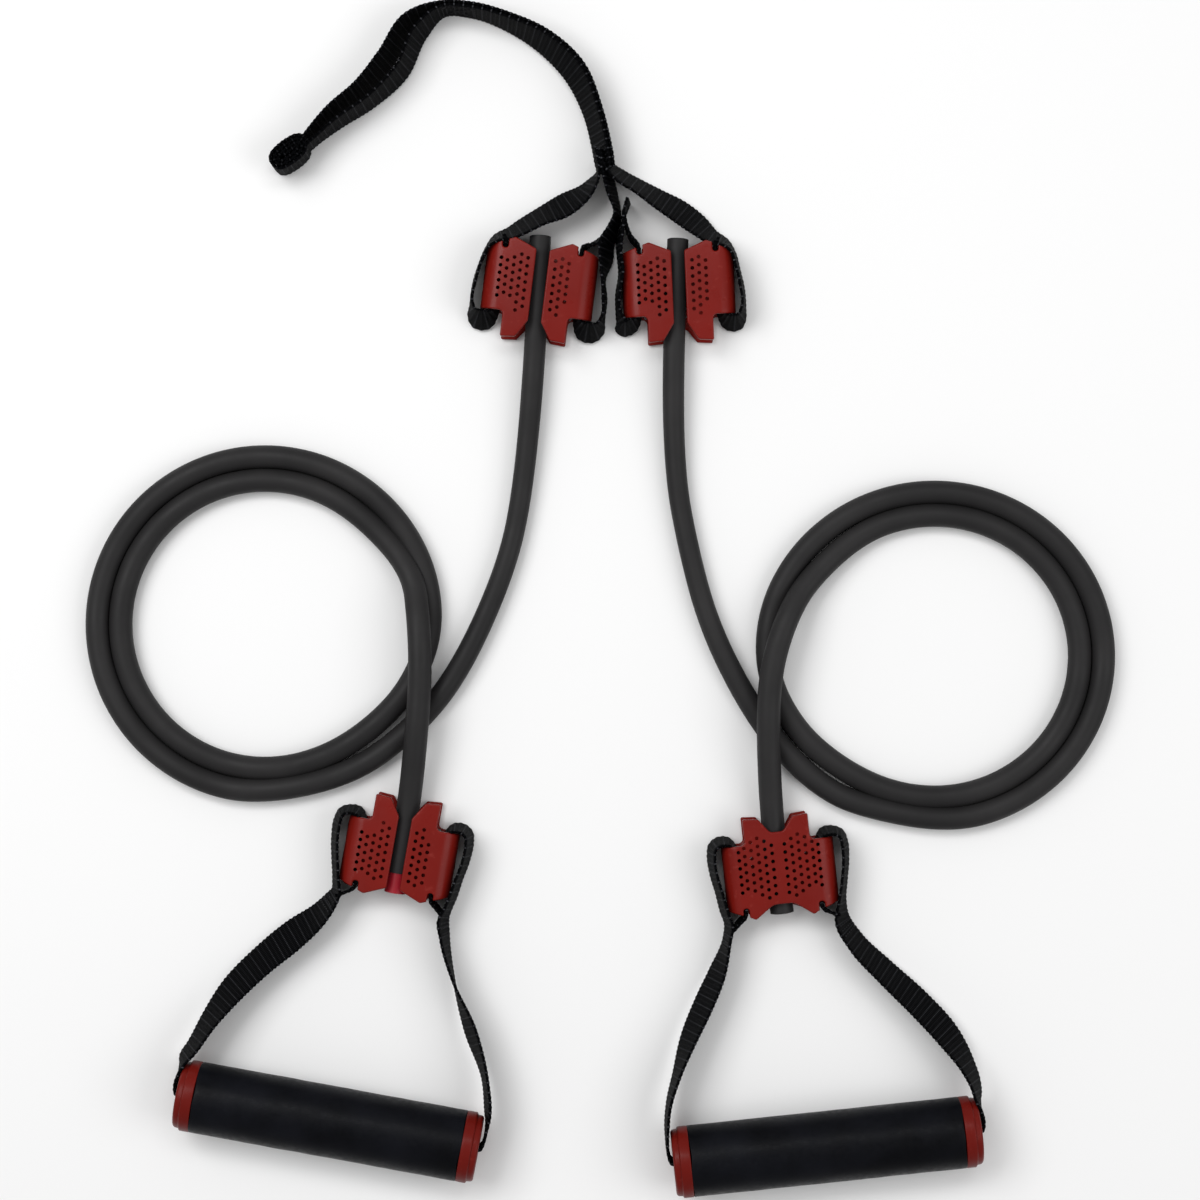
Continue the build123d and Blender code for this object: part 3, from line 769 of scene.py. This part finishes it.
def stopper():
    """Webbing rolled up on edge into an oval plug."""
    x, y, turn = STOPPER
    place = Matrix.Translation((x, y, 0)) @ Matrix.Rotation(radians(turn), 4, "Z")
    stations = []
    for index in range(int(ROLL_TURNS * ROLL_STATIONS) + 1):
        angle = tau * index / ROLL_STATIONS
        inward = ROLL_STEP[0] * index / ROLL_STATIONS
        length = (ROLL_HALVES[0] - inward) * squarish(cos(angle))
        breadth = (ROLL_HALVES[1] - ROLL_STEP[1] * inward) * squarish(sin(angle))
        stations.append((*(place @ Vector((length, breadth, ROLL_HEIGHT))), 0, ROLL_WIDTH))
    roll = Strip("stopper_roll", stations).build(WEBBING, "webbing")
    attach(roll, "anchor_strap")
    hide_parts("stopper_wrap", "stopper_core")


# -------------------------------------------------------------------------- grips

GRIP_RADIUS, CORE_RADIUS, BORE_RADIUS, CAP_BORE = 16.5, 12.5, 10.5, 9.8   # CAP_BORE is a radius
CAP_LENGTH, CAP_SPIGOT = 8.0, 8.0
SLEEVE_SLACK = 0.05      # round the core, the spigots and the sleeve's skin
SLEEVE_GAP = 0.02        # between the sleeve and each cap

# (radius, height over the sleeve's end, fillet)
CAP_OUTLINE = [
    (CAP_BORE, -CAP_SPIGOT, 0.4), (BORE_RADIUS - SLEEVE_SLACK, -CAP_SPIGOT, 0.3),
    (BORE_RADIUS - SLEEVE_SLACK, 0.0, 0.0), (GRIP_RADIUS - 0.1, 0.0, 0.35),
    (GRIP_RADIUS, 1.0, 0.3), (GRIP_RADIUS, 4.7, 0.5), (GRIP_RADIUS - 1.0, 5.1, 0.3),
    (GRIP_RADIUS - 1.15, 7.0, 0.5), (GRIP_RADIUS - 1.9, CAP_LENGTH, 0.7),
    (CAP_BORE + 3.6, CAP_LENGTH, 0.5), (CAP_BORE + 3.0, CAP_LENGTH - 0.6, 0.3),
    (CAP_BORE + 1.4, CAP_LENGTH - 0.6, 0.4), (CAP_BORE, CAP_LENGTH - 2.0, 0.6),
]


def grips():
    """Rubber sleeves and their moulded end caps."""
    for hand, (outer, inner) in AXLES.items():
        ends = [Vector((*place, AXLE_HEIGHT)) for place in (outer, inner)]
        middle = (ends[0] + ends[1]) / 2 * MM
        half = (ends[0] - ends[1]).length / 2 - CAP_LENGTH
        for name, way in (("outer", ends[0] - ends[1]), ("inner", ends[1] - ends[0])):
            turn = way.to_track_quat("Z", "Y").to_matrix().to_4x4()
            place = Matrix.Translation(middle + way.normalized() * half * MM) @ turn
            cap = turned(hand + "_cap_" + name, CAP_OUTLINE, place, CAP_RED)
            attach(cap, hand + "_grip")
            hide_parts(hand + "_grip_cap_" + name)
        turn = (ends[0] - ends[1]).to_track_quat("Z", "Y").to_matrix().to_4x4()
        place = Matrix.Translation(middle) @ turn
        bore, skin = CORE_RADIUS + SLEEVE_SLACK, GRIP_RADIUS - SLEEVE_SLACK
        top = half - SLEEVE_GAP
        outline = [(bore, -top, 0.0), (skin, -top, 0.6), (skin, top, 0.6), (bore, top, 0.0)]
        sleeve = turned(hand + "_sleeve", outline, place, GRIP,
                        segments=120, divisions=48, wobble=0.16)
        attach(sleeve, hand + "_grip")
        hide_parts(hand + "_grip_sleeve")


CROWN, CROWN_ENDS = 0.12, 0.05   # share of the half depth lost at a pocket's sides and ends
HALF_SPAN = (26.3, 24.0)         # from a pocket's centre to its sides and to its ends
FACET, FACET_PASSES = 2.2 * MM, 4   # longest edge left alone, and how often longer ones are cut
WELD = 0.002 * MM
SHARP_ANGLE = 38


def crowned_pockets():
    """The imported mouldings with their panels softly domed."""
    for name, (x, y, turn, _) in POCKETS.items():
        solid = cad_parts[name + "_pocket"]
        away, angle = Vector((x, y, 0)) * MM, radians(turn)
        work = bmesh.new()
        work.from_mesh(solid.data)
        work.transform(solid.matrix_world)
        bmesh.ops.remove_doubles(work, verts=work.verts, dist=WELD)
        for _ in range(FACET_PASSES):
            long_edges = [edge for edge in work.edges if edge.calc_length() > FACET]
            bmesh.ops.subdivide_edges(work, edges=long_edges, cuts=1)
            wide_faces = [face for face in work.faces if len(face.verts) > 3]
            bmesh.ops.triangulate(work, faces=wide_faces)
        for point in work.verts:
            place = point.co - away
            u = (place.x * cos(angle) + place.y * sin(angle)) / MM
            v = (place.y * cos(angle) - place.x * sin(angle)) / MM
            drop = CROWN * (u / HALF_SPAN[0]) ** 2 + CROWN_ENDS * (v / HALF_SPAN[1]) ** 2
            point.co.z = MID * MM + (point.co.z - MID * MM) * (1 - drop)
        mesh = bpy.data.meshes.new(name + "_shell")
        work.to_mesh(mesh)
        work.free()
        mesh.polygons.foreach_set("use_smooth", [True] * len(mesh.polygons))
        mesh.set_sharp_from_angle(angle=radians(SHARP_ANGLE))
        shell = add_object(name + "_shell", mesh, RED)
        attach(shell, name + "_pocket")
        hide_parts(name + "_pocket")


def dress_frame():
    """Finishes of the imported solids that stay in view."""
    for node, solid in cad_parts.items():
        finish = PLUG_RED if node.endswith("_plug") else CORE_GREY
        solid.data.materials.clear()
        solid.data.materials.append(finish)


dress_frame()
crowned_pockets()
harness()
grip_straps()
anchor()
stopper()
grips()


# ------------------------------------------------------------------------- tubes

LEFT_UPPER_ROUTE = [
    (-19.5, 168.5, MID), (-21.5, 117.6, MID), (-27.6, 49.0, TUBE_REST), (-36.1, 10.9, TUBE_REST),
    (-58.4, -37.9, TUBE_REST), (-81.6, -64.7, TUBE_REST), (-110.0, -84.9, TUBE_REST),
]
RIGHT_UPPER_ROUTE = [
    (45.1, 167.1, MID), (42.6, 112.0, MID), (43.6, 58.0, TUBE_REST), (49.4, 25.0, TUBE_REST),
    (58.9, -11.6, TUBE_REST), (74.1, -43.6, TUBE_REST), (90.8, -68.9, TUBE_REST),
    (110.4, -88.3, TUBE_REST), (129.9, -98.8, TUBE_REST),
]
LEFT_LOWER_ROUTE = [
    (-79.5, 12.0, 9.0), (-76.0, -12.0, TUBE_OVER), (-75.2, -38.0, TUBE_OVER + 0.2),
    (-77.2, -66.0, TUBE_OVER), (-80.9, -97.5, MID), (-86.2, -130.0, MID),
]
RIGHT_LOWER_ROUTE = [
    (105.3, 6.5, 9.0), (94.0, -14.0, TUBE_OVER - 0.6), (87.6, -38.0, TUBE_OVER),
    (86.8, -66.0, TUBE_OVER + 0.2), (89.1, -107.0, MID), (93.9, -148.8, MID),
]
# centre, radius of the outer turn, way round (1 is anticlockwise), angle of entry in degrees,
# first and last turn drawn, and the coil's stretch in x and in y
COILS = {
    "left": ((-149.3, -13.6), 78.8, -1, -61.1, (0.09, 1.70), (1.0, 1.0)),
    "right": ((165.9, -28.6), 78.6, 1, -117.1, (0.09, 1.66), (1.012, 0.982)),
}
TURN_POINTS = 16
TURN_GROWTH = 0.981      # a quadratic spline's circle against its control polygon's radius
MOVES_IN, MOVE_TAKES = 0.8, 0.2   # turn at which the tube moves inside itself, and for how long


def ease(t):
    """0 to 1 with a soft start and a soft end."""
    t = min(max(t, 0.0), 1.0)
    return t * t * (3 - 2 * t)


def coil_points(side):
    """Control points of the two turns, outer first, each a tube's diameter inside the last."""
    (x, y), radius, way, entry, (first, last), (wide, high) = COILS[side]
    count = round((last - first) * TURN_POINTS)
    points = []
    for index in range(count + 1):
        turn = first + (last - first) * index / count
        angle = radians(entry) + way * tau * turn
        inside = TUBE_DIA / MM * ease((turn - MOVES_IN) / MOVE_TAKES)
        reach = (radius - inside) / TURN_GROWTH
        points.append((x + wide * reach * cos(angle), y + high * reach * sin(angle), TUBE_REST))
    return points


# the tube is drawn out thinner between the upper pocket and the coil: y, share of the diameter
THINNER = [
    (170.0, 0.9), (150.0, 0.95), (110.0, 0.95), (70.0, 0.88), (0.0, 0.88), (-60.0, 0.97),
    (-85.0, 1.0),
]


def drawn_share(y):
    """Share of its diameter that an upper stretch has at y."""
    for (top, first), (bottom, second) in zip(THINNER, THINNER[1:]):
        if y >= bottom:
            share = min(max((y - bottom) / (top - bottom), 0.0), 1.0)
            return second + (first - second) * share
    return 1.0


def tube_curve(side, upper, lower):
    """The whole tube as one NURBS curve: upper stretch, coil, lower stretch."""
    route = upper + coil_points(side) + lower
    shares = [drawn_share(y) for _, y, _ in upper] + [1.0] * (len(route) - len(upper))
    data = bpy.data.curves.new(side + "_tube", "CURVE")
    data.dimensions = "3D"
    data.bevel_depth = TUBE_DIA / 2
    data.bevel_resolution = 12
    data.resolution_u = 14
    spline = data.splines.new("NURBS")
    spline.points.add(len(route) - 1)
    for point, place, share in zip(spline.points, route, shares):
        point.co = (*[value * MM for value in place], 1.0)
        point.radius = share
    spline.order_u = 3
    spline.use_endpoint_u = True
    piece = add_object(side + "_tube", data, TUBE)
    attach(piece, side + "_tube")
    stretches = [side + "_tube_" + part for part in ("upper_stretch", "coil", "lower_stretch")]
    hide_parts(*stretches)
    return piece


# (radius, height over the tube's end, fillet)
RIM = [
    (3.05, -3.0, 0.0), (4.6, -3.0, 0.0), (4.9, -0.6, 0.3), (4.95, 0.0, 0.5), (4.2, 0.35, 0.3),
    (3.05, 0.0, 0.4),
]


def tube_rim(side, level, end, before):
    """Cut end of a tube round its plug, with a soft lip."""
    outward = Vector(end) - Vector(before)
    turn = outward.to_track_quat("Z", "Y").to_matrix().to_4x4()
    place = Matrix.Translation(Vector(end) * MM) @ turn
    rim = turned(side + "_tube_rim_" + level, RIM, place, TUBE, segments=48)
    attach(rim, side + "_tube")
    return rim


ROUTES = {
    "left": (LEFT_UPPER_ROUTE, LEFT_LOWER_ROUTE),
    "right": (RIGHT_UPPER_ROUTE, RIGHT_LOWER_ROUTE),
}
for side, (upper, lower) in ROUTES.items():
    tube = tube_curve(side, upper, lower)
    tube_rim(side, "upper", upper[0], upper[1])
    tube_rim(side, "lower", lower[-1], lower[-2])


# ------------------------------------------------------------------ studio and camera

FLOOR_HALF = 3.0
FLOOR_COLOUR = (0.86, 0.86, 0.86)
WORLD_STRENGTH = 0.42


def plain_floor():
    mesh = bpy.data.meshes.new("floor")
    signs = ((-1, -1), (1, -1), (1, 1), (-1, 1))
    mesh.from_pydata([(x * FLOOR_HALF, y * FLOOR_HALF, 0) for x, y in signs], [], [(0, 1, 2, 3)])
    floor = bpy.data.objects.new("floor", mesh)
    bpy.context.scene.collection.objects.link(floor)
    look = Shading("floor", FLOOR_COLOUR, 0.8)
    mesh.materials.append(look.material)


def soft_light(name, place, size, power):
    """A white rectangular light turned to the middle of the object."""
    data = bpy.data.lights.new(name, "AREA")
    data.shape = "RECTANGLE"
    data.size, data.size_y = size
    data.energy = power
    light = bpy.data.objects.new(name, data)
    bpy.context.scene.collection.objects.link(light)
    light.location = place
    light.rotation_euler = (-Vector(place)).to_track_quat("-Z", "Y").to_euler()


plain_floor()
soft_light("key", (-0.9, 0.5, 1.5), size=(1.2, 0.9), power=17)
soft_light("fill", (1.1, -0.2, 1.2), size=(1.0, 1.0), power=7)
soft_light("top", (0.0, 0.9, 1.9), size=(1.6, 0.5), power=9)
world = bpy.data.worlds.new("studio")
world.use_nodes = True
background = world.node_tree.nodes["Background"]
background.inputs["Color"].default_value = (1.0, 1.0, 1.0, 1.0)
background.inputs["Strength"].default_value = WORLD_STRENGTH
bpy.context.scene.world = world
bpy.context.scene.view_settings.view_transform = "Standard"

SENSOR_WIDTH = 36.0
VIEW_WIDTH = 0.563       # width in view, in metres, at the target's distance
CAMERA_RANGE = 1.25
CAMERA_TILT = 0.3        # degrees from straight above, towards -Y
target = Vector((0.0085, -0.0022, 0.010))
camera_data = bpy.data.cameras.new("camera")
camera_data.sensor_width = SENSOR_WIDTH
camera_data.lens = SENSOR_WIDTH * CAMERA_RANGE / VIEW_WIDTH
camera = bpy.data.objects.new("camera", camera_data)
bpy.context.scene.collection.objects.link(camera)
away = Vector((0.0, -sin(radians(CAMERA_TILT)), cos(radians(CAMERA_TILT))))
camera.location = target + away * CAMERA_RANGE
camera.rotation_euler = (radians(CAMERA_TILT), 0.0, 0.0)
bpy.context.scene.camera = camera
